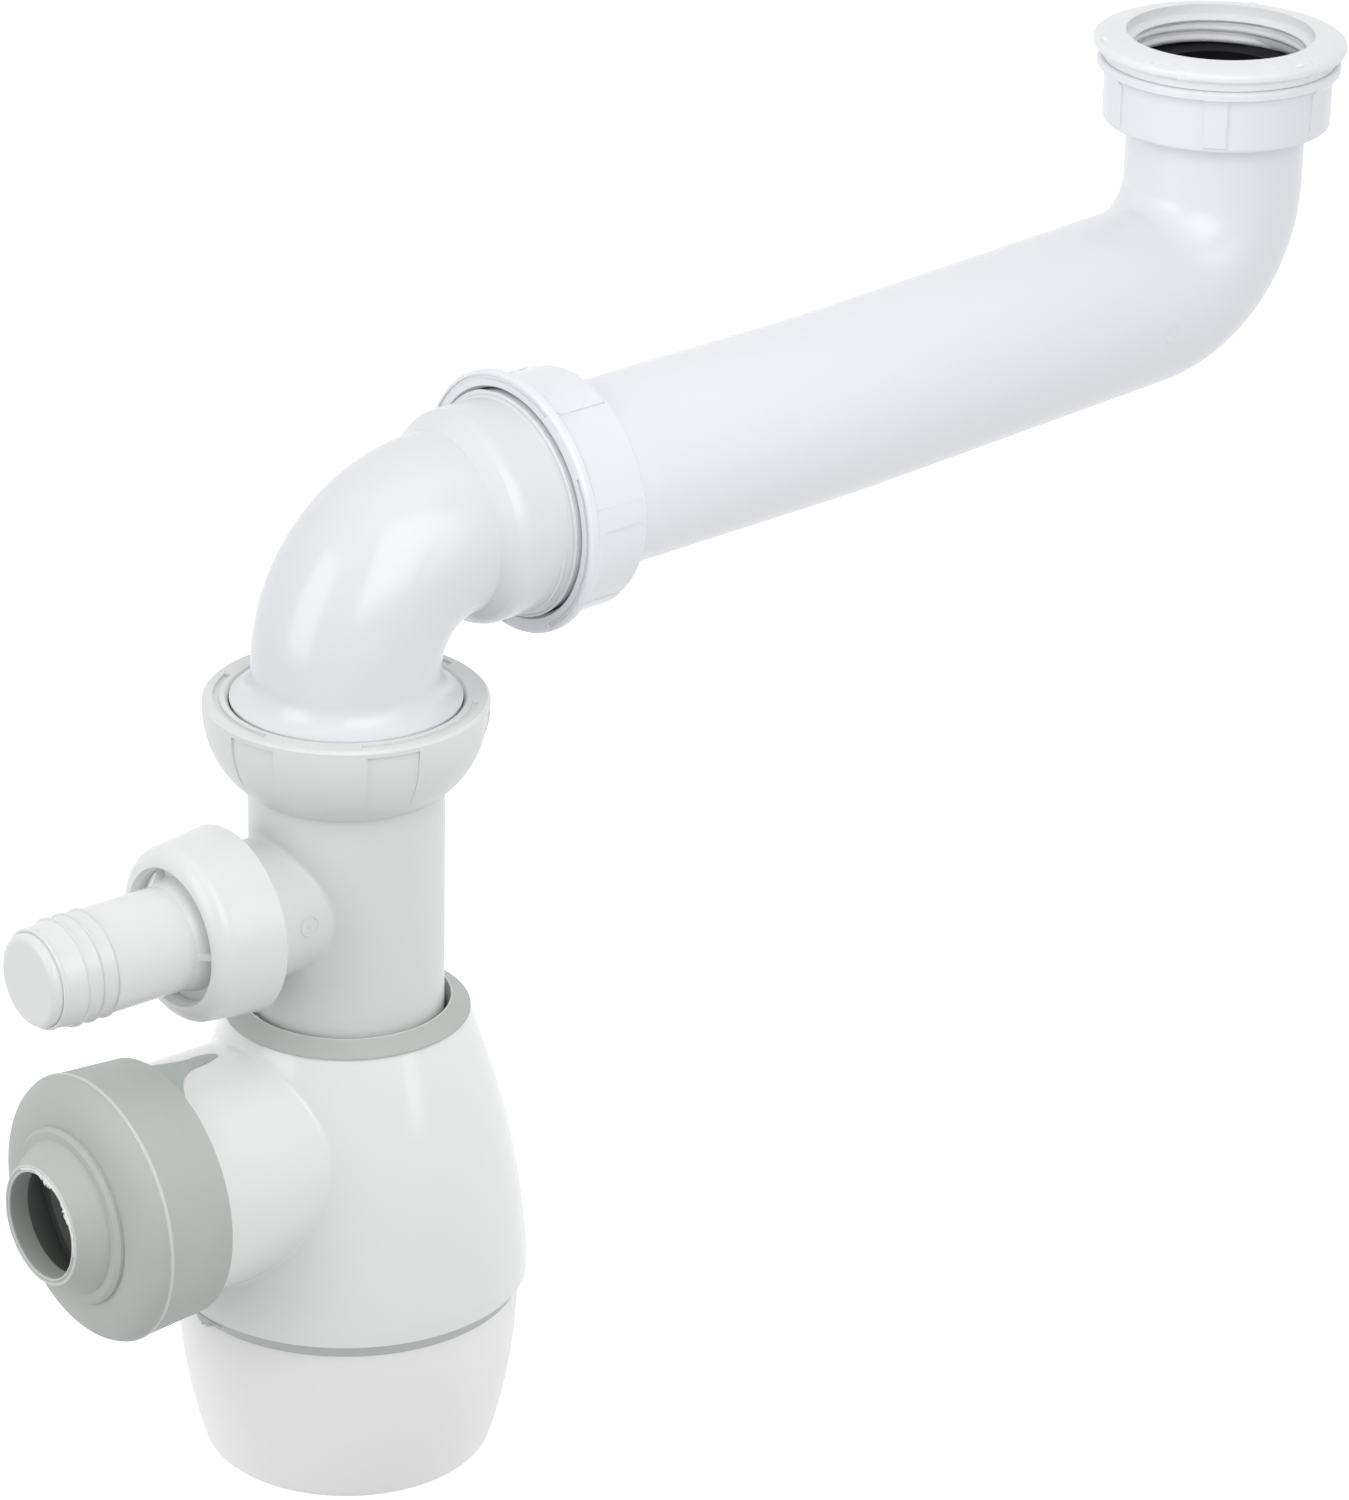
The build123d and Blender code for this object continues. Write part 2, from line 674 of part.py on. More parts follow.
# Cup: tapered bowl with a plain neck for its thread
cup_shoulder_z = -cup_seal_thick - seat_gap
cup_neck_r = skirt_bore_r - turn_gap
cup_shoulder_r = body_r - cup_shoulder_inset
cup_foot_r = cup_shoulder_r - cup_taper
with BuildPart() as bottle_cup:
    with BuildSketch(half_section(seam_frame)):
        with BuildLine():
            SagittaArc((cup_shoulder_r, cup_shoulder_z), (cup_foot_r, -cup_depth), cup_side_bulge)
            Polyline(
                (cup_foot_r, -cup_depth),
                (0, -cup_depth),
                (0, cup_neck_height),
                (cup_neck_r, cup_neck_height),
                (cup_neck_r, cup_shoulder_z),
                (cup_shoulder_r, cup_shoulder_z),
            )
        make_face()
    revolve(axis=turning_axis(seam_frame))
    fillet(bottle_cup.edges().group_by(Axis.Z)[0], radius=cup_foot_round)
    offset(amount=-cup_wall, openings=bottle_cup.faces().sort_by(Axis.Z)[-1])
bottle_cup.part.label = "bottle_cup"

# Outlet cuff: soft sleeve on the stub, stepped down to a nozzle
cuff_sleeve_r = stub_r + bond_gap
cuff_throat = cuff_end - cuff_bore_length
with BuildPart() as outlet_cuff:
    with BuildSketch(half_section(outlet_frame)):
        with BuildLine():
            Polyline((cuff_sleeve_r, cuff_start), (cuff_back_r, cuff_start), (cuff_r, cuff_edge))
            EllipticalCenterArc(
                (cuff_step_r, cuff_edge), cuff_r - cuff_step_r, cuff_step - cuff_bead - cuff_edge, arc_size=90
            )
            Polyline(
                (cuff_step_r, cuff_step - cuff_bead),
                (cuff_step_r, cuff_step),
                (cuff_step_r - cuff_bead, cuff_step + cuff_bead),
                (cuff_nozzle_root_r, cuff_step + cuff_bead),
                (cuff_nozzle_r, cuff_end),
                (cuff_bore_r, cuff_end),
                (cuff_bore_r, cuff_throat),
                (cuff_step_r - cuff_wall, cuff_step - cuff_wall),
                (cuff_sleeve_r, stub_end + bond_gap),
                (cuff_sleeve_r, cuff_start),
            )
        make_face()
    revolve(axis=turning_axis(outlet_frame))
outlet_cuff.part.label = "outlet_cuff"

pieces = [
    reducer_bush, inlet_gasket, inlet_nut, offset_pipe, pipe_nut, pipe_slip_ring, pipe_seal, elbow, tube_gasket,
    tube_nut, dip_tube, branch_gasket, branch_nut, hose_tail, bottle_body, neck_seal, cup_seal, bottle_cup,
    outlet_cuff,
]
for piece in pieces:
    export_step(piece.part, f"parts/{piece.part.label}.step")
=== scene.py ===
"""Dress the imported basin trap: finishes, moulded details, floor, light and camera."""

import logging
from dataclasses import dataclass
from enum import Enum
from math import atan2, cos, hypot, pi, radians, sin
from random import Random

import bpy
from mathutils import Matrix, Vector


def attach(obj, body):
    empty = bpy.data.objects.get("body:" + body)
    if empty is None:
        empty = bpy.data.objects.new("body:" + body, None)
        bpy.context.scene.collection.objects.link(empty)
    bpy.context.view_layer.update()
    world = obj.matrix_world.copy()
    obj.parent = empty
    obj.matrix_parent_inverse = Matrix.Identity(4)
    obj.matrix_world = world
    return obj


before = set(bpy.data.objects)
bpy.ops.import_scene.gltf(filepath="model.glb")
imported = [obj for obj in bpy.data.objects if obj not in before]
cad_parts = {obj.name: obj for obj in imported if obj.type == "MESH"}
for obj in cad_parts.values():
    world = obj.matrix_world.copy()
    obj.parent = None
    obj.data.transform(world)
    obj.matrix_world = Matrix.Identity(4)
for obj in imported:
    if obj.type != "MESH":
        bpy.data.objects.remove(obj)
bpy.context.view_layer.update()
LOG = logging.getLogger("basin_trap")

Colour = tuple[float, float, float]
Point = tuple[float, float, float]
Spot = tuple[float, float]
MM = 0.001

# Sockets of a Mix node that mixes colours.
MIX_FACTOR = 0
MIX_A = 6
MIX_B = 7
MIX_RESULT = 2

# Values that all finishes share.
CLOUD_SPAN = (0.1, 0.9)
CLOUD_DETAIL = 3.0
GLOSS_DETAIL = 4.0
GRAIN_DETAIL = 2.0
SPECK_FADE = 1.6
COAT_ROUGHNESS = 0.08
SUBSURFACE_SCALE = 0.003
SUBSURFACE_RADIUS = (1.0, 0.9, 0.8)


class Slot(Enum):
    """Material slots of the record."""

    GLOSS_WHITE = "gloss_white"
    SATIN_WHITE = "satin_white"
    GREY_SOFT = "grey_soft"
    BLACK_RUBBER = "black_rubber"


@dataclass(frozen=True)
class Finish:
    """Moulded plastic or rubber; colours are linear, scales are per metre, heights in metres."""

    name: str
    slot: Slot
    base: Colour
    shade: Colour
    cloud_scale: float
    gloss_scale: float
    rough_low: float
    rough_high: float
    grain_scale: float
    grain_height: float
    speck: Colour
    speck_scale: float
    speck_size: float
    specular: float = 0.5
    coat: float = 0.0
    subsurface: float = 0.0

    def material(self) -> bpy.types.Material:
        """Give the node material of this finish.

        Returns:
            The material, made the first time it is asked for.
        """
        known = bpy.data.materials.get(self.name)
        if known:
            return known
        made = bpy.data.materials.new(self.name)
        made.use_nodes = True
        tree = made.node_tree
        shader = tree.nodes["Principled BSDF"]
        place = tree.nodes.new("ShaderNodeTexCoord").outputs["Object"]
        self._colour(tree, shader, place)
        self._gloss(tree, shader, place)
        self._grain(tree, shader, place)
        shader.inputs["Specular IOR Level"].default_value = self.specular
        shader.inputs["Coat Weight"].default_value = self.coat
        shader.inputs["Coat Roughness"].default_value = COAT_ROUGHNESS
        shader.inputs["Subsurface Weight"].default_value = self.subsurface
        shader.inputs["Subsurface Scale"].default_value = SUBSURFACE_SCALE
        shader.inputs["Subsurface Radius"].default_value = SUBSURFACE_RADIUS
        return made

    def _noise(self, tree: bpy.types.NodeTree, place: bpy.types.NodeSocket, scale: float,
               detail: float) -> bpy.types.NodeSocket:
        """Add a noise field.

        Args:
            tree: node tree of the material.
            place: coordinates that the noise reads.
            scale: features per metre.
            detail: octaves of finer noise.

        Returns:
            The socket with the field's value.
        """
        noise = tree.nodes.new("ShaderNodeTexNoise")
        noise.inputs["Scale"].default_value = scale
        noise.inputs["Detail"].default_value = detail
        tree.links.new(place, noise.inputs["Vector"])
        return noise.outputs["Fac"]

    def _range(self, tree: bpy.types.NodeTree, value: bpy.types.NodeSocket, span: Spot,
               result: Spot) -> bpy.types.NodeSocket:
        """Stretch a field to a range.

        Args:
            tree: node tree of the material.
            value: field to stretch.
            span: values of the field that are the ends.
            result: values that the ends become.

        Returns:
            The socket with the stretched field.
        """
        fit = tree.nodes.new("ShaderNodeMapRange")
        fit.inputs["From Min"].default_value = span[0]
        fit.inputs["From Max"].default_value = span[1]
        fit.inputs["To Min"].default_value = result[0]
        fit.inputs["To Max"].default_value = result[1]
        tree.links.new(value, fit.inputs["Value"])
        return fit.outputs["Result"]

    def _mix(self, tree: bpy.types.NodeTree, factor: bpy.types.NodeSocket) -> bpy.types.Node:
        """Add a colour mix driven by a field.

        Args:
            tree: node tree of the material.
            factor: field that drives the mix.

        Returns:
            The mix node, with its two colours still to be set.
        """
        mix = tree.nodes.new("ShaderNodeMix")
        mix.data_type = "RGBA"
        tree.links.new(factor, mix.inputs[MIX_FACTOR])
        return mix

    def _colour(self, tree: bpy.types.NodeTree, shader: bpy.types.Node,
                place: bpy.types.NodeSocket) -> None:
        """Cloud the base colour and strew fine specks over it.

        Args:
            tree: node tree of the material.
            shader: surface shader.
            place: coordinates that the pattern reads.
        """
        patches = self._noise(tree, place, self.cloud_scale, CLOUD_DETAIL)
        clouded = self._mix(tree, self._range(tree, patches, CLOUD_SPAN, (0.0, 1.0)))
        clouded.inputs[MIX_A].default_value = (*self.base, 1.0)
        clouded.inputs[MIX_B].default_value = (*self.shade, 1.0)
        cells = tree.nodes.new("ShaderNodeTexVoronoi")
        cells.inputs["Scale"].default_value = self.speck_scale
        tree.links.new(place, cells.inputs["Vector"])
        rim = (self.speck_size, SPECK_FADE * self.speck_size)
        specked = self._mix(tree, self._range(tree, cells.outputs["Distance"], rim, (1.0, 0.0)))
        tree.links.new(clouded.outputs[MIX_RESULT], specked.inputs[MIX_A])
        specked.inputs[MIX_B].default_value = (*self.speck, 1.0)
        tree.links.new(specked.outputs[MIX_RESULT], shader.inputs["Base Color"])

    def _gloss(self, tree: bpy.types.NodeTree, shader: bpy.types.Node,
               place: bpy.types.NodeSocket) -> None:
        """Vary the gloss in broad patches.

        Args:
            tree: node tree of the material.
            shader: surface shader.
            place: coordinates that the pattern reads.
        """
        patches = self._noise(tree, place, self.gloss_scale, GLOSS_DETAIL)
        rough = self._range(tree, patches, CLOUD_SPAN, (self.rough_low, self.rough_high))
        tree.links.new(rough, shader.inputs["Roughness"])

    def _grain(self, tree: bpy.types.NodeTree, shader: bpy.types.Node,
               place: bpy.types.NodeSocket) -> None:
        """Raise the fine grain that the mould leaves.

        Args:
            tree: node tree of the material.
            shader: surface shader.
            place: coordinates that the pattern reads.
        """
        bump = tree.nodes.new("ShaderNodeBump")
        bump.inputs["Strength"].default_value = 1.0
        bump.inputs["Distance"].default_value = self.grain_height
        tree.links.new(self._noise(tree, place, self.grain_scale, GRAIN_DETAIL), bump.inputs["Height"])
        tree.links.new(bump.outputs["Normal"], shader.inputs["Normal"])


PIPE_WHITE = Finish(
    "pipe_white", Slot.GLOSS_WHITE, base=(0.795, 0.811, 0.844), shade=(0.778, 0.795, 0.83),
    cloud_scale=22.0, gloss_scale=35.0, rough_low=0.19, rough_high=0.26, grain_scale=420.0,
    grain_height=0.00002, speck=(0.785, 0.8, 0.83), speck_scale=70.0, speck_size=0.012, coat=0.05,
)
ELBOW_WHITE = Finish(
    "elbow_white", Slot.GLOSS_WHITE, base=(0.726, 0.738, 0.758), shade=(0.71, 0.723, 0.745),
    cloud_scale=22.0, gloss_scale=35.0, rough_low=0.17, rough_high=0.22, grain_scale=420.0,
    grain_height=0.00002, speck=(0.716, 0.728, 0.748), speck_scale=70.0, speck_size=0.012, coat=0.05,
)
BUSH_WHITE = Finish(
    "bush_white", Slot.SATIN_WHITE, base=(0.835, 0.845, 0.858), shade=(0.817, 0.827, 0.842),
    cloud_scale=30.0, gloss_scale=50.0, rough_low=0.24, rough_high=0.33, grain_scale=700.0,
    grain_height=0.00002, speck=(0.82, 0.83, 0.845), speck_scale=90.0, speck_size=0.012,
)
# The tube's white made brighter for the branch nut and hose tail: painted light for the strong light that
# falls on them from above.
NUT_WHITE_LIT = Finish(
    "nut_white_lit", Slot.SATIN_WHITE, base=(0.785, 0.8, 0.787), shade=(0.765, 0.781, 0.769),
    cloud_scale=30.0, gloss_scale=60.0, rough_low=0.2, rough_high=0.28, grain_scale=900.0,
    grain_height=0.00003, speck=(0.77, 0.785, 0.773), speck_scale=90.0, speck_size=0.012,
    subsurface=0.08,
)
# Brighter white painted on the bush's pin marks: a painted highlight standing in for the glints that the
# marks catch.
PIN_GLINT_WHITE = Finish(
    "pin_glint_white", Slot.SATIN_WHITE, base=(0.93, 0.935, 0.94), shade=(0.91, 0.915, 0.92),
    cloud_scale=90.0, gloss_scale=90.0, rough_low=0.12, rough_high=0.2, grain_scale=700.0,
    grain_height=0.00001, speck=(0.85, 0.86, 0.87), speck_scale=90.0, speck_size=0.012,
)
BODY_WHITE = Finish(
    "body_white", Slot.GLOSS_WHITE, base=(0.848, 0.862, 0.853), shade=(0.828, 0.842, 0.834),
    cloud_scale=26.0, gloss_scale=40.0, rough_low=0.13, rough_high=0.19, grain_scale=380.0,
    grain_height=0.00002, speck=(0.832, 0.846, 0.837), speck_scale=80.0, speck_size=0.012, coat=0.15,
)
# The same white made darker for the dip tube, its nut and the boss gate mark: painted shade for the tube
# that sits under the bowl nut.
TUBE_WHITE_SHADED = Finish(
    "tube_white_shaded", Slot.SATIN_WHITE, base=(0.728, 0.745, 0.73), shade=(0.71, 0.726, 0.712),
    cloud_scale=30.0, gloss_scale=60.0, rough_low=0.26, rough_high=0.34, grain_scale=900.0,
    grain_height=0.00003, speck=(0.71, 0.728, 0.715), speck_scale=90.0, speck_size=0.012,
    subsurface=0.06,
)
CUP_WHITE = Finish(
    "cup_white", Slot.SATIN_WHITE, base=(0.955, 0.96, 0.938), shade=(0.938, 0.943, 0.921),
    cloud_scale=38.0, gloss_scale=60.0, rough_low=0.36, rough_high=0.46, grain_scale=1400.0,
    grain_height=0.00004, speck=(0.935, 0.94, 0.92), speck_scale=90.0, speck_size=0.012,
    subsurface=0.1,
)
SOFT_GREY = Finish(
    "soft_grey", Slot.GREY_SOFT, base=(0.498, 0.53, 0.504), shade=(0.475, 0.505, 0.481),
    cloud_scale=60.0, gloss_scale=120.0, rough_low=0.5, rough_high=0.62, grain_scale=1800.0,
    grain_height=0.00004, speck=(0.53, 0.56, 0.54), speck_scale=240.0, speck_size=0.03, specular=0.35,
)
# The soft grey made lighter for the cup seal and its torn flash: painted light for the seal that sits in
# shade under the body.
CUP_SEAL_GREY_LIT = Finish(
    "cup_seal_grey_lit", Slot.GREY_SOFT, base=(0.57, 0.6, 0.577), shade=(0.55, 0.58, 0.556),
    cloud_scale=60.0, gloss_scale=120.0, rough_low=0.5, rough_high=0.62, grain_scale=1800.0,
    grain_height=0.00004, speck=(0.6, 0.63, 0.61), speck_scale=240.0, speck_size=0.03, specular=0.35,
)
# The soft grey made lighter on the cuff's parting bead, its mouth lips and the neck ring's edge: a painted
# highlight on those edges.
CUFF_EDGE_HIGHLIGHT = Finish(
    "cuff_edge_highlight", Slot.GREY_SOFT, base=(0.66, 0.69, 0.665), shade=(0.63, 0.66, 0.637),
    cloud_scale=120.0, gloss_scale=120.0, rough_low=0.38, rough_high=0.48, grain_scale=1800.0,
    grain_height=0.00003, speck=(0.6, 0.63, 0.61), speck_scale=240.0, speck_size=0.03,
)
TORN_EDGE = Finish(
    "torn_edge", Slot.GREY_SOFT, base=(0.95, 0.955, 0.94), shade=(0.9, 0.91, 0.895),
    cloud_scale=200.0, gloss_scale=120.0, rough_low=0.4, rough_high=0.55, grain_scale=1500.0,
    grain_height=0.00003, speck=(0.75, 0.77, 0.75), speck_scale=300.0, speck_size=0.05, subsurface=0.1,
)
SEAL_BLACK = Finish(
    "seal_black", Slot.BLACK_RUBBER, base=(0.004, 0.004, 0.005), shade=(0.008, 0.008, 0.01),
    cloud_scale=80.0, gloss_scale=150.0, rough_low=0.5, rough_high=0.65, grain_scale=1500.0,
    grain_height=0.00005, speck=(0.02, 0.02, 0.022), speck_scale=260.0, speck_size=0.03, specular=0.18,
)

NODE_FINISHES: dict[Finish, tuple[str, ...]] = {
    PIPE_WHITE: ("inlet_nut", "offset_pipe", "pipe_nut"),
    ELBOW_WHITE: ("elbow",),
    BODY_WHITE: ("bottle_body",),
    BUSH_WHITE: ("reducer_bush", "pipe_slip_ring"),
    TUBE_WHITE_SHADED: ("tube_nut", "dip_tube"),
    NUT_WHITE_LIT: ("branch_nut", "hose_tail"),
    CUP_WHITE: ("bottle_cup",),
    SOFT_GREY: ("neck_seal", "outlet_cuff"),
    CUP_SEAL_GREY_LIT: ("cup_seal",),
    SEAL_BLACK: ("inlet_gasket", "pipe_seal", "tube_gasket", "branch_gasket"),
}


@dataclass(frozen=True)
class Seat:
    """Axis that a turned piece sits on, with the side from which turns are counted."""

    origin: Point
    axis: Point
    side: Point

    def matrix(self) -> Matrix:
        """Work out where the seat puts a piece.

        Returns:
            The place of a piece that was modelled upright at the origin.
        """
        axis, side = Vector(self.axis), Vector(self.side)
        turn = Matrix((side, axis.cross(side), axis)).transposed()
        return Matrix.Translation(Vector(self.origin) * MM) @ turn.to_4x4()


UP: Point = (0.0, 0.0, 1.0)
TO_INLET: Point = (1.0, 0.0, 0.0)
TO_OUTLET: Point = (-1.0, 0.0, 0.0)
TO_BACK: Point = (0.0, 1.0, 0.0)
ARM_FALL = radians(1.55)
INLET_FALL = radians(3.53)
BOTTLE_X = -241.3
INLET_SEAT = Seat((0.0, 0.0, 0.0), UP, TO_INLET)
INLET_ARM_SEAT = Seat((0.0, 0.0, -56.1), (-cos(INLET_FALL), 0.0, -sin(INLET_FALL)), TO_BACK)
ARM_SEAT = Seat((BOTTLE_X, 0.0, -66.53), (cos(ARM_FALL), 0.0, sin(ARM_FALL)), TO_BACK)
BRANCH_SEAT = Seat((BOTTLE_X, 0.0, -140.43), TO_OUTLET, UP)
OUTLET_SEAT = Seat((BOTTLE_X, 0.0, -196.23), TO_OUTLET, UP)
BOTTLE_SEAT = Seat((BOTTLE_X, 0.0, -229.93), UP, TO_INLET)


@dataclass(frozen=True)
class Section:
    """Rounded section beside an axis, as radius and height in millimetres.

    Attributes:
        centre: distance of its middle from the axis, and its height.
        half: half its depth and half its height.
        foot: how much of the height the part under the middle keeps.
    """

    centre: Spot
    half: Spot
    foot: float = 1.0


@dataclass(frozen=True)
class Thread:
    """Section that winds up an axis and runs out at both ends, in millimetres.

    Attributes:
        section: section of the thread.
        turns: turns of the thread.
        pitch: rise of one turn.
        root: radius that the thread sinks to at its ends.
        fade: steps over which it sinks.
        start: angle at which it starts, in degrees.
    """

    section: Section
    turns: float
    pitch: float
    root: float
    fade: int
    start: float = 0.0


@dataclass(frozen=True)
class Tear:
    """Thin film along an arc with a ragged free edge, in millimetres.

    Attributes:
        turns: angles at which the film starts and ends, in degrees.
        root: radius and height of its rooted edge.
        edge: radius and height that its free edge reaches at most.
        share: least and most of that reach.
        thick: thickness of the film.
        seed: start of the ragged edge's random draws.
        clumps: number of places where it reaches further.
        clump_middle: reach between the clumps and the gaps.
        clump_swing: how far the clumps and the gaps depart from it.
        taper: power at which the reach falls off towards both ends.
    """

    turns: Spot
    root: Spot
    edge: Spot
    share: Spot
    thick: float
    seed: int
    clumps: float = 3.0
    clump_middle: float = 0.6
    clump_swing: float = 0.4
    taper: int = 4

    def half_arc(self) -> float:
        """Give half the arc's angle in radians."""
        return radians(self.turns[1] - self.turns[0]) / 2

    def off_middle(self, spot: Vector) -> float:
        """Give the angle in radians from the middle of the arc to a spot."""
        middle = radians(self.turns[0] + self.turns[1]) / 2
        return (atan2(spot.y, spot.x) - middle + pi) % (2 * pi) - pi

    def reach(self, off: float, draws: Random) -> float:
        """Draw how far the free edge reaches.

        Args:
            off: angle in radians from the middle of the arc.
            draws: random draws of the film.

        Returns:
            The reach as a share of the way from the rooted edge.
        """
        half = self.half_arc()
        clump = self.clump_middle + self.clump_swing * sin(self.clumps * pi * off / half + self.seed)
        return draws.uniform(*self.share) * clump * (1.0 - (off / half) ** self.taper)


@dataclass
class Moulding:
    """Small moulded detail that rides on one body; sizes are in millimetres, turns in degrees."""

    body: str
    finish: Finish
    seat: Seat
    ring_steps: int = 144
    film_steps: int = 576
    section_points: int = 16
    pip_points: int = 24
    pip_steps: tuple[Spot, ...] = ((1.6, 0.92), (0.3, 0.7), (0.1, 0.4))
    merge_gap: float = 0.001
    smooth_angle: float = 40.0

    def ring(self, name: str, shape: Section, place: Matrix | None = None,
             finish: Finish | None = None) -> None:
        """Turn a section to a ring and settle it.

        Args:
            name: name of the piece.
            shape: section of the ring.
            place: place of the piece on the seat, if it isn't the seat itself.
            finish: finish of the piece, if it isn't the detail's own.
        """
        piece = self.section(name, shape)
        self.spin()
        self.settle(piece, place, finish)

    def screw(self, name: str, thread: Thread) -> None:
        """Wind a thread and settle it.

        Args:
            name: name of the piece.
            thread: the thread.
        """
        piece = self.section(name, thread.section)
        self.wind(piece, thread)
        self.settle(piece, Matrix.Rotation(radians(thread.start), 4, "Z"))

    def section(self, name: str, shape: Section) -> bpy.types.Object:
        """Start a turned piece from the outline of its section.

        Args:
            name: name of the piece.
            shape: its section.

        Returns:
            The piece, a closed line in the plane of the axis.
        """
        bpy.ops.object.select_all(action="DESELECT")
        bpy.ops.mesh.primitive_circle_add(vertices=self.section_points, radius=MM)
        piece = bpy.context.object
        piece.name = name
        bpy.ops.object.mode_set(mode="EDIT")
        bpy.ops.mesh.select_all(action="SELECT")
        bpy.ops.transform.rotate(value=pi / 2, orient_axis="X", center_override=(0, 0, 0))
        bpy.ops.transform.resize(value=(shape.half[0], 1.0, shape.half[1]), center_override=(0, 0, 0))
        bpy.ops.object.mode_set(mode="OBJECT")
        for corner in piece.data.vertices:
            corner.select = corner.co.z < 0.0
        bpy.ops.object.mode_set(mode="EDIT")
        bpy.ops.transform.resize(value=(1.0, 1.0, shape.foot), center_override=(0, 0, 0))
        bpy.ops.mesh.select_all(action="SELECT")
        bpy.ops.transform.translate(value=(shape.centre[0] * MM, 0.0, shape.centre[1] * MM))
        bpy.ops.object.mode_set(mode="OBJECT")
        return piece

    def spin(self) -> None:
        """Turn the section once round the axis to a closed ring."""
        bpy.ops.object.mode_set(mode="EDIT")
        bpy.ops.mesh.select_all(action="SELECT")
        bpy.ops.mesh.spin(steps=self.ring_steps, angle=2 * pi, center=(0, 0, 0), axis=(0, 0, 1))
        bpy.ops.mesh.select_all(action="SELECT")
        bpy.ops.mesh.remove_doubles(threshold=self.merge_gap * MM)
        bpy.ops.mesh.normals_make_consistent(inside=False)
        bpy.ops.object.mode_set(mode="OBJECT")

    def wind(self, piece: bpy.types.Object, thread: Thread) -> None:
        """Wind the section up the axis to a thread that runs out at both ends.

        Args:
            piece: the section.
            thread: the thread.
        """
        steps = round(self.ring_steps * thread.turns)
        winding = piece.modifiers.new("winding", "SCREW")
        winding.angle = 2 * pi * thread.turns
        winding.screw_offset = thread.pitch * thread.turns * MM
        winding.steps = winding.render_steps = steps
        bpy.ops.object.modifier_apply(modifier=winding.name)
        root = thread.root * MM
        for index, corner in enumerate(piece.data.vertices):
            step = index // self.section_points
            share = min(1.0, min(step, steps - step) / thread.fade)
            reach = hypot(corner.co.x, corner.co.y)
            shrink = (root + (reach - root) * share) / reach
            corner.co.x *= shrink
            corner.co.y *= shrink
        bpy.ops.object.mode_set(mode="EDIT")
        bpy.ops.mesh.select_all(action="SELECT")
        bpy.ops.mesh.fill_holes(sides=0)
        bpy.ops.mesh.remove_doubles(threshold=self.merge_gap * MM)
        bpy.ops.mesh.normals_make_consistent(inside=False)
        bpy.ops.object.mode_set(mode="OBJECT")

    def pip(self, name: str, radius: float, height: float) -> bpy.types.Object:
        """Raise a low dome with a rounded edge on the plane of the seat.

        Args:
            name: name of the piece.
            radius: radius of its foot.
            height: height of its crown.

        Returns:
            The dome, with its foot just under the plane.
        """
        bpy.ops.object.select_all(action="DESELECT")
        bpy.ops.mesh.primitive_circle_add(vertices=self.pip_points, radius=radius * MM, fill_type="NGON")
        piece = bpy.context.object
        piece.name = name
        bpy.ops.object.mode_set(mode="EDIT")
        bpy.ops.mesh.select_all(action="SELECT")
        bpy.ops.transform.translate(value=(0, 0, -height * MM))
        for rise, width in self.pip_steps:
            bpy.ops.mesh.extrude_region_move(TRANSFORM_OT_translate={"value": (0, 0, rise * height * MM)})
            bpy.ops.transform.resize(value=(width, width, 1.0))
        bpy.ops.mesh.select_all(action="SELECT")
        bpy.ops.mesh.normals_make_consistent(inside=False)
        bpy.ops.object.mode_set(mode="OBJECT")
        return piece

    def torn_strip(self, name: str, tear: Tear) -> bpy.types.Object:
        """Draw a thin film along an arc, with a ragged free edge.

        Args:
            name: name of the piece.
            tear: the film.

        Returns:
            The film, with its thickness.
        """
        draws = Random(tear.seed)
        root, edge = tear.root, tear.edge
        bpy.ops.object.select_all(action="DESELECT")
        bpy.ops.mesh.primitive_circle_add(vertices=self.film_steps, radius=root[0] * MM)
        piece = bpy.context.object
        piece.name = name
        bpy.ops.object.mode_set(mode="EDIT")
        bpy.ops.mesh.select_all(action="DESELECT")
        bpy.ops.object.mode_set(mode="OBJECT")
        for corner in piece.data.vertices:
            corner.select = abs(tear.off_middle(corner.co)) > tear.half_arc()
        bpy.ops.object.mode_set(mode="EDIT")
        bpy.ops.mesh.delete(type="VERT")
        bpy.ops.mesh.select_all(action="SELECT")
        bpy.ops.transform.translate(value=(0, 0, root[1] * MM))
        bpy.ops.mesh.extrude_edges_move()
        bpy.ops.object.mode_set(mode="OBJECT")
        for corner in piece.data.vertices:
            if corner.select:
                reach = tear.reach(tear.off_middle(corner.co), draws)
                scale = (root[0] + (edge[0] - root[0]) * reach) / root[0]
                corner.co.x *= scale
                corner.co.y *= scale
                corner.co.z = (root[1] + (edge[1] - root[1]) * reach) * MM
        self.thicken(piece, tear.thick)
        return piece

    def thicken(self, piece: bpy.types.Object, thick: float) -> None:
        """Give a film its thickness on both sides.

        Args:
            piece: the film.
            thick: its thickness.
        """
        bpy.ops.object.mode_set(mode="EDIT")
        bpy.ops.mesh.select_all(action="SELECT")
        bpy.ops.mesh.normals_make_consistent(inside=False)
        bpy.ops.object.mode_set(mode="OBJECT")
        wall = piece.modifiers.new("wall", "SOLIDIFY")
        wall.thickness = thick * MM
        wall.offset = 0.0
        bpy.ops.object.modifier_apply(modifier=wall.name)

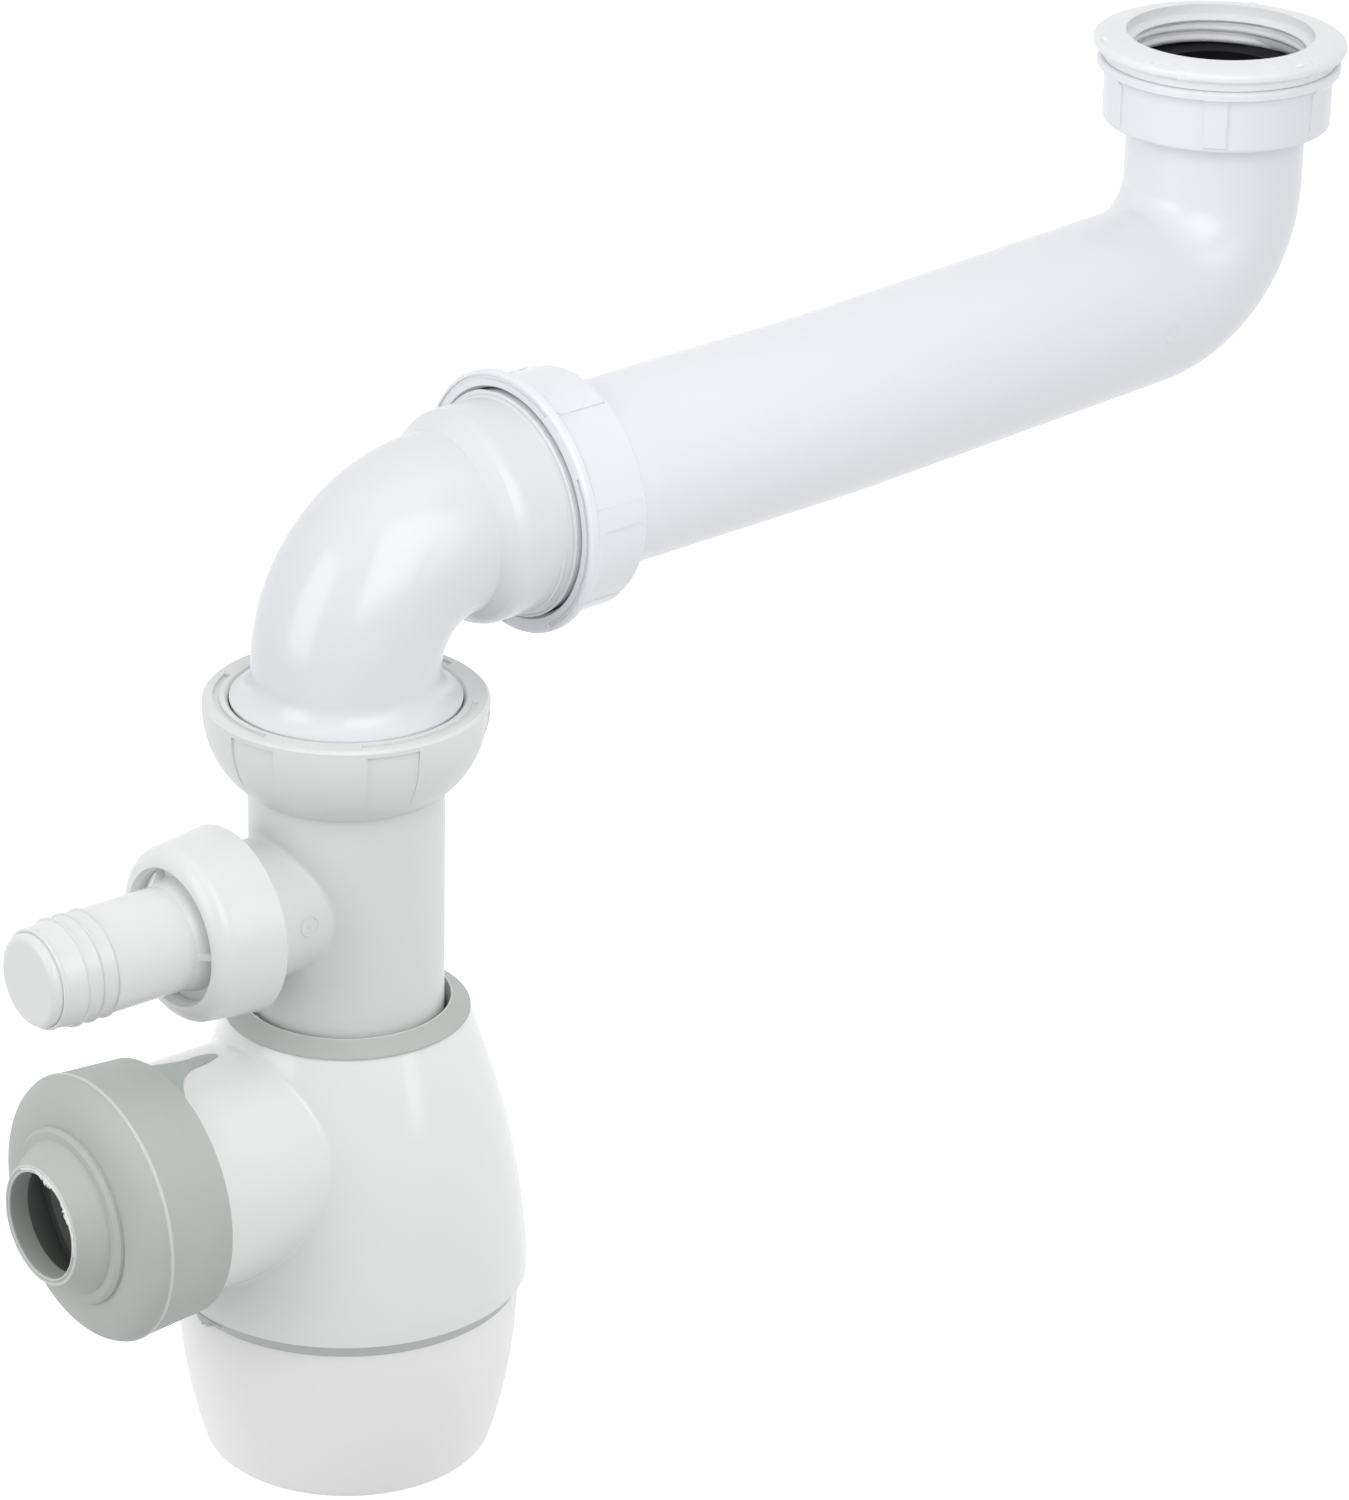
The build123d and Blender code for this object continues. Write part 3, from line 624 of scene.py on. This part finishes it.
    def settle(self, piece: bpy.types.Object, place: Matrix | None = None,
               finish: Finish | None = None) -> None:
        """Seat a piece, dress it and let it ride on its body.

        Args:
            piece: the piece, modelled upright at the origin and still selected.
            place: place of the piece on the seat, if it isn't the seat itself.
            finish: finish of the piece, if it isn't the detail's own.
        """
        worn = finish or self.finish
        piece.matrix_world = self.seat.matrix() @ (place or Matrix.Identity(4))
        bpy.ops.object.transform_apply(location=True, rotation=True, scale=True)
        bpy.ops.object.shade_smooth_by_angle(angle=radians(self.smooth_angle))
        piece.data.materials.append(worn.material())
        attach(piece, self.body)
        LOG.info("built %s on %s", piece.name, self.body)

    def on_top(self, turn: float, reach: float, height: float) -> Matrix:
        """Give the place of a mark that faces along the axis.

        Args:
            turn: angle round the axis.
            reach: distance from the axis.
            height: height along the axis.

        Returns:
            The place, for a mark that was modelled upright at the origin.
        """
        away = Matrix.Translation((reach * MM, 0, height * MM))
        return Matrix.Rotation(radians(turn), 4, "Z") @ away

    def on_side(self, turn: float, reach: float, height: float) -> Matrix:
        """Give the place of a mark that faces outwards from the axis, as on_top does for one along it."""
        return self.on_top(turn, reach, height) @ Matrix.Rotation(pi / 2, 4, "Y")


@dataclass
class BushMouth(Moulding):
    """Rolled mouth and inner thread of the bush, and the pin marks on its rim, which are painted a brighter
    white as painted highlights.
    """

    lip: Section = Section((21.2, -3.2), (2.05, 3.15), foot=0.28)
    root: Section = Section((21.0, -6.1), (1.0, 2.65))
    thread: Thread = Thread(Section((21.1, -8.05), (1.8, 1.1)), turns=1.55, pitch=2.45, root=21.2, fade=12)
    # Finish of the pin marks: a brighter white, a painted highlight.
    mark_glint_finish: Finish = PIN_GLINT_WHITE
    mark_radius: float = 1.1
    mark_proud: float = 0.1
    mark_reach: float = 26.1
    mark_height: float = -0.72
    mark_turns: tuple[float, ...] = (30.0, 150.0, 267.0)

    def build(self) -> None:
        """Build the mouth, the thread and the marks."""
        self.ring("bush_mouth_lip", self.lip)
        self.ring("bush_thread_root", self.root)
        self.screw("bush_inner_thread", self.thread)
        for number, turn in enumerate(self.mark_turns, 1):
            mark = self.pip(f"bush_pin_mark_{number}", self.mark_radius, self.mark_proud)
            self.settle(mark, self.on_top(turn, self.mark_reach, self.mark_height), self.mark_glint_finish)


@dataclass
class SocketThread(Moulding):
    """Last turns of the elbow's union thread beside the pipe nut."""

    crest: Thread = Thread(Section((23.8, 40.55), (0.5, 0.42)), turns=1.1, pitch=0.6, root=23.3, fade=10,
                           start=60.0)
    run_out: Thread = Thread(Section((22.85, 38.7), (0.4, 0.6)), turns=0.62, pitch=1.8, root=22.45, fade=16,
                             start=160.0)

    def build(self) -> None:
        """Build the crest at the nut and the run-out behind it."""
        self.screw("socket_thread_crest", self.crest)
        self.screw("socket_thread_run_out", self.run_out)


@dataclass
class CupThread(Moulding):
    """Coarse thread on the neck of the cup, seen when the cup is unscrewed."""

    thread: Thread = Thread(Section((35.0, 1.6), (0.35, 0.9)), turns=1.6, pitch=4.0, root=34.65, fade=14)

    def build(self) -> None:
        """Build the thread."""
        self.screw("cup_neck_thread", self.thread)


@dataclass
class TailBarbs(Moulding):
    """Sharp ridges that hold a hose on the tail, steep towards the nut."""

    half: Spot = (0.75, 2.0)
    reach: float = 10.8
    steep: float = 0.14
    heights: tuple[float, ...] = (64.7, 68.3, 71.9)
    shoulder: Section = Section((10.25, 77.1), (0.45, 0.55))

    def build(self) -> None:
        """Build the barbs and the shoulder before the tip."""
        for number, height in enumerate(self.heights, 1):
            self.ring(f"tail_barb_{number}", Section((self.reach, height), self.half, self.steep))
        self.ring("tail_shoulder", self.shoulder)


@dataclass
class OutletTrim(Moulding):
    """Parting line, mouth lips and moulding flash of the soft outlet cuff; the parting line and lips are
    painted a lighter grey, a painted highlight on those edges.

    Each row of the film on the stub has its place along the stub and the angles of its two ends.
    """

    # Lighter grey for the bead and lips: a painted highlight on the edges.
    edge: Finish = CUFF_EDGE_HIGHLIGHT
    torn: Finish = TORN_EDGE
    bead: Section = Section((28.5, 65.0), (0.3, 0.42))
    outer_lip: Section = Section((12.6, 77.75), (0.3, 0.3))
    inner_lip: Section = Section((11.62, 77.7), (0.26, 0.42))
    flash: Tear = Tear((-100.0, 34.0), root=(12.35, 78.05), edge=(10.3, 77.9), share=(0.3, 1.0), thick=0.34,
                       seed=5)
    stub_reach: float = 24.95
    film_rows: tuple[tuple[float, float, float], ...] = (
        (32.6, 1.5, 3.6), (34.6, -1.0, 6.2), (36.6, -2.0, 7.8), (38.6, -2.5, 7.4), (40.6, -3.0, 7.8),
        (42.6, -5.5, 10.5), (44.4, -9.0, 13.0), (46.2, -15.0, 15.0), (48.0, -22.0, 17.0),
        (49.6, -27.0, 18.0),
    )
    film_columns: int = 9
    film_seed: int = 11
    film_rough: float = 0.25
    film_sway: float = 2.0
    film_lift: float = 0.3
    film_thick: float = 0.3
    film_levels: int = 2

    def build(self) -> None:
        """Build the rings, then the flash."""
        self.ring("cuff_parting_bead", self.bead, finish=self.edge)
        self.ring("nozzle_outer_lip", self.outer_lip, finish=self.edge)
        self.ring("nozzle_inner_lip", self.inner_lip, finish=self.edge)
        self.settle(self.torn_strip("nozzle_flash", self.flash), finish=self.torn)
        self._stub_film()

    def _stub_film(self) -> None:
        """Lay the thin film that runs from the cuff's back edge along the top of the stub."""
        draws = Random(self.film_seed)
        rows, columns = len(self.film_rows), self.film_columns
        bpy.ops.object.select_all(action="DESELECT")
        bpy.ops.mesh.primitive_grid_add(x_subdivisions=columns - 1, y_subdivisions=rows - 1, size=1.0)
        film = bpy.context.object
        film.name = "stub_film"
        for corner in film.data.vertices:
            # The grid reaches from -0.5 to 0.5 both ways.
            along, first, last = self.film_rows[round((corner.co.y + 0.5) * (rows - 1))]
            share = corner.co.x + 0.5
            rough = draws.uniform(-self.film_rough, self.film_rough)
            sway = self.film_sway * rough * abs(2.0 * share - 1.0)
            turn = radians(first + (last - first) * share + sway)
            reach = (self.stub_reach + self.film_lift * max(0.0, rough)) * MM
            corner.co = (reach * cos(turn), reach * sin(turn), (along + rough) * MM)
        self.thicken(film, self.film_thick)
        soften = film.modifiers.new("soften", "SUBSURF")
        soften.levels = soften.render_levels = self.film_levels
        bpy.ops.object.modifier_apply(modifier=soften.name)
        self.settle(film)


@dataclass
class SealFlash(Moulding):
    """Torn edge of the cup seal under the outlet cuff."""

    flash: Tear = Tear((150.0, 189.0), root=(37.45, -1.2), edge=(37.05, -4.6), share=(0.2, 1.0), thick=0.4,
                       seed=3)

    def build(self) -> None:
        """Build the torn edge."""
        self.settle(self.torn_strip("cup_seal_flash", self.flash))


@dataclass
class NeckEdge(Moulding):
    """Fine edge round the mouth of the neck ring, painted a lighter grey as a painted highlight, with a
    torn bit beside the branch.
    """

    edge: Section = Section((22.0, 63.62), (0.2, 0.2))
    torn: Finish = TORN_EDGE
    flash: Tear = Tear((152.0, 178.0), root=(22.1, 63.75), edge=(21.0, 63.6), share=(0.1, 1.0), thick=0.3,
                       seed=7)

    def build(self) -> None:
        """Build the edge and the torn bit."""
        self.ring("neck_ring_edge", self.edge)
        self.settle(self.torn_strip("neck_ring_flash", self.flash), finish=self.torn)


@dataclass
class GateMark(Moulding):
    """Shallow ring that the mould's gate leaves on a wall, with a pip in its middle."""

    name: str = "gate_mark"
    turn: float = 0.0
    reach: float = 10.0
    height: float = 0.0
    radius: float = 1.4
    proud: float = 0.08
    ring_half: float = 0.24
    pip_radius: float = 0.7

    def build(self) -> None:
        """Build the ring and its pip."""
        place = self.on_side(self.turn, self.reach, self.height)
        self.ring(f"{self.name}_ring", Section((self.radius, 0.0), (self.ring_half, self.proud)), place)
        self.settle(self.pip(f"{self.name}_pip", self.pip_radius, self.proud), place)


@dataclass(frozen=True)
class Softbox:
    """Soft lamp that faces a point of the trap; angles in degrees, sizes in metres, power in watts."""

    name: str
    about: Point
    turn: float
    rise: float
    gap: float
    size: Spot
    power: float

    def hang(self, front: Vector) -> None:
        """Hang the lamp.

        Args:
            front: level direction from the trap towards the camera, from which the turn is counted.
        """
        aside = Matrix.Rotation(radians(self.turn), 3, "Z") @ front
        offset = self.gap * (cos(radians(self.rise)) * aside + sin(radians(self.rise)) * Vector(UP))
        lamp = bpy.data.lights.new(self.name, "AREA")
        lamp.shape = "RECTANGLE"
        lamp.size, lamp.size_y = self.size
        lamp.energy = self.power
        holder = bpy.data.objects.new(self.name, lamp)
        holder.location = Vector(self.about) + offset
        holder.rotation_euler = (-offset).to_track_quat("-Z", "Y").to_euler()
        bpy.context.scene.collection.objects.link(holder)


INLET_MIDDLE: Point = (0.0, 0.0, -0.05)
TRAP_MIDDLE: Point = (-0.161, -0.009, -0.129)


@dataclass
class Studio:
    """Floor, soft light and camera; places are in metres."""

    floor_height: float = -2.0
    floor_size: float = 40.0
    floor_colour: Colour = (0.9, 0.9, 0.9)
    floor_rough: float = 0.9
    floor_light: Colour = (1.0, 1.0, 1.0)
    floor_glow: float = 0.7
    sky_middle: float = 0.76
    sky_back: float = 0.33
    sky_down: float = 0.145
    sky_tint: Colour = (0.99, 0.995, 1.005)
    lamps: tuple[Softbox, ...] = (
        Softbox("key_softbox", INLET_MIDDLE, turn=0.0, rise=25.0, gap=0.5, size=(0.35, 0.35), power=0.9),
        Softbox("left_strip", TRAP_MIDDLE, turn=-58.0, rise=20.0, gap=1.4, size=(0.75, 1.2), power=5.8),
        Softbox("right_strip", TRAP_MIDDLE, turn=55.0, rise=20.0, gap=1.4, size=(0.32, 1.0), power=1.5),
        Softbox("top_softbox", TRAP_MIDDLE, turn=0.0, rise=75.0, gap=1.4, size=(1.2, 1.2), power=2.0),
    )
    eye: Point = (-0.9276, -0.9319, 0.40273)
    right: Point = (0.774454, -0.632337, 0.019347)
    up: Point = (0.242437, 0.324892, 0.914155)
    lens: float = 147.044
    sensor: float = 36.0
    nearest: float = 0.05

    def build(self) -> None:
        """Build the floor, the lights and the camera, and set the plain tone curve."""
        self._floor()
        towards = Vector(self.right).cross(Vector(self.up))
        front = Vector((towards.x, towards.y, 0.0)).normalized()
        self._sky(front)
        for lamp in self.lamps:
            lamp.hang(front)
        self._camera()
        bpy.context.scene.view_settings.view_transform = "Standard"

    def _floor(self) -> None:
        """Lay a wide pale floor far below the trap."""
        bpy.ops.object.select_all(action="DESELECT")
        bpy.ops.mesh.primitive_plane_add(size=self.floor_size, location=(0, 0, self.floor_height))
        floor = bpy.context.object
        floor.name = "floor"
        bpy.ops.object.transform_apply(location=True)
        paint = bpy.data.materials.new("floor_paint")
        paint.use_nodes = True
        shader = paint.node_tree.nodes["Principled BSDF"]
        shader.inputs["Base Color"].default_value = (*self.floor_colour, 1.0)
        shader.inputs["Roughness"].default_value = self.floor_rough
        shader.inputs["Emission Color"].default_value = (*self.floor_light, 1.0)
        shader.inputs["Emission Strength"].default_value = self.floor_glow
        floor.data.materials.append(paint)
        floor.visible_diffuse = False
        floor.visible_glossy = False

    def _sky(self, front: Vector) -> None:
        """Light the surroundings softly, with a steady fall from their brightest side.

        Args:
            front: level direction from the trap towards the camera.
        """
        slope = -self.sky_back * front - self.sky_down * Vector(UP)
        world = bpy.data.worlds.new("studio_sky")
        world.use_nodes = True
        tree = world.node_tree
        facing = tree.nodes.new("ShaderNodeVectorMath")
        facing.operation = "DOT_PRODUCT"
        facing.inputs[1].default_value = slope
        tree.links.new(tree.nodes.new("ShaderNodeTexCoord").outputs["Generated"], facing.inputs[0])
        level = tree.nodes.new("ShaderNodeMath")
        level.operation = "ADD"
        level.inputs[1].default_value = self.sky_middle
        tree.links.new(facing.outputs["Value"], level.inputs[0])
        tree.links.new(level.outputs["Value"], tree.nodes["Background"].inputs["Strength"])
        tree.nodes["Background"].inputs["Color"].default_value = (*self.sky_tint, 1.0)
        bpy.context.scene.world = world

    def _camera(self) -> None:
        """Set the camera at the photograph's viewing angle."""
        shot = bpy.data.cameras.new("camera")
        shot.lens = self.lens
        shot.sensor_width = self.sensor
        shot.sensor_fit = "AUTO"
        shot.clip_start = self.nearest
        right, up = Vector(self.right), Vector(self.up)
        turn = Matrix((right, up, right.cross(up))).transposed()
        holder = bpy.data.objects.new("camera", shot)
        holder.matrix_world = Matrix.Translation(self.eye) @ turn.to_4x4()
        bpy.context.scene.collection.objects.link(holder)
        bpy.context.scene.camera = holder


def dress_nodes() -> None:
    """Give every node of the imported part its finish."""
    for finish, names in NODE_FINISHES.items():
        for name in names:
            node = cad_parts[name]
            node.data.materials.clear()
            node.data.materials.append(finish.material())
            LOG.info("dressed %s in %s", name, finish.name)


def main() -> None:
    """Build the finishes, the details and the studio in order."""
    logging.basicConfig(level=logging.INFO, format="%(name)s: %(message)s")
    dress_nodes()
    BushMouth("bush", BUSH_WHITE, INLET_SEAT).build()
    SocketThread("elbow", ELBOW_WHITE, ARM_SEAT).build()
    CupThread("cup", CUP_WHITE, BOTTLE_SEAT).build()
    TailBarbs("tube", NUT_WHITE_LIT, BRANCH_SEAT).build()
    OutletTrim("bottle", SOFT_GREY, OUTLET_SEAT).build()
    # The cup seal's flash wears the lightened grey, painted light.
    SealFlash("cup_seal", CUP_SEAL_GREY_LIT, BOTTLE_SEAT).build()
    NeckEdge("neck_seal", CUFF_EDGE_HIGHLIGHT, BOTTLE_SEAT).build()
    GateMark("tube", TUBE_WHITE_SHADED, BRANCH_SEAT, name="boss_gate", turn=-86.0, reach=14.8, height=20.2,
             radius=2.1, proud=0.12).build()
    GateMark("arm", PIPE_WHITE, INLET_ARM_SEAT, name="arm_gate", turn=177.0, reach=20.0, height=29.7,
             radius=2.0).build()
    Studio().build()


if __name__ == "__main__":
    main()
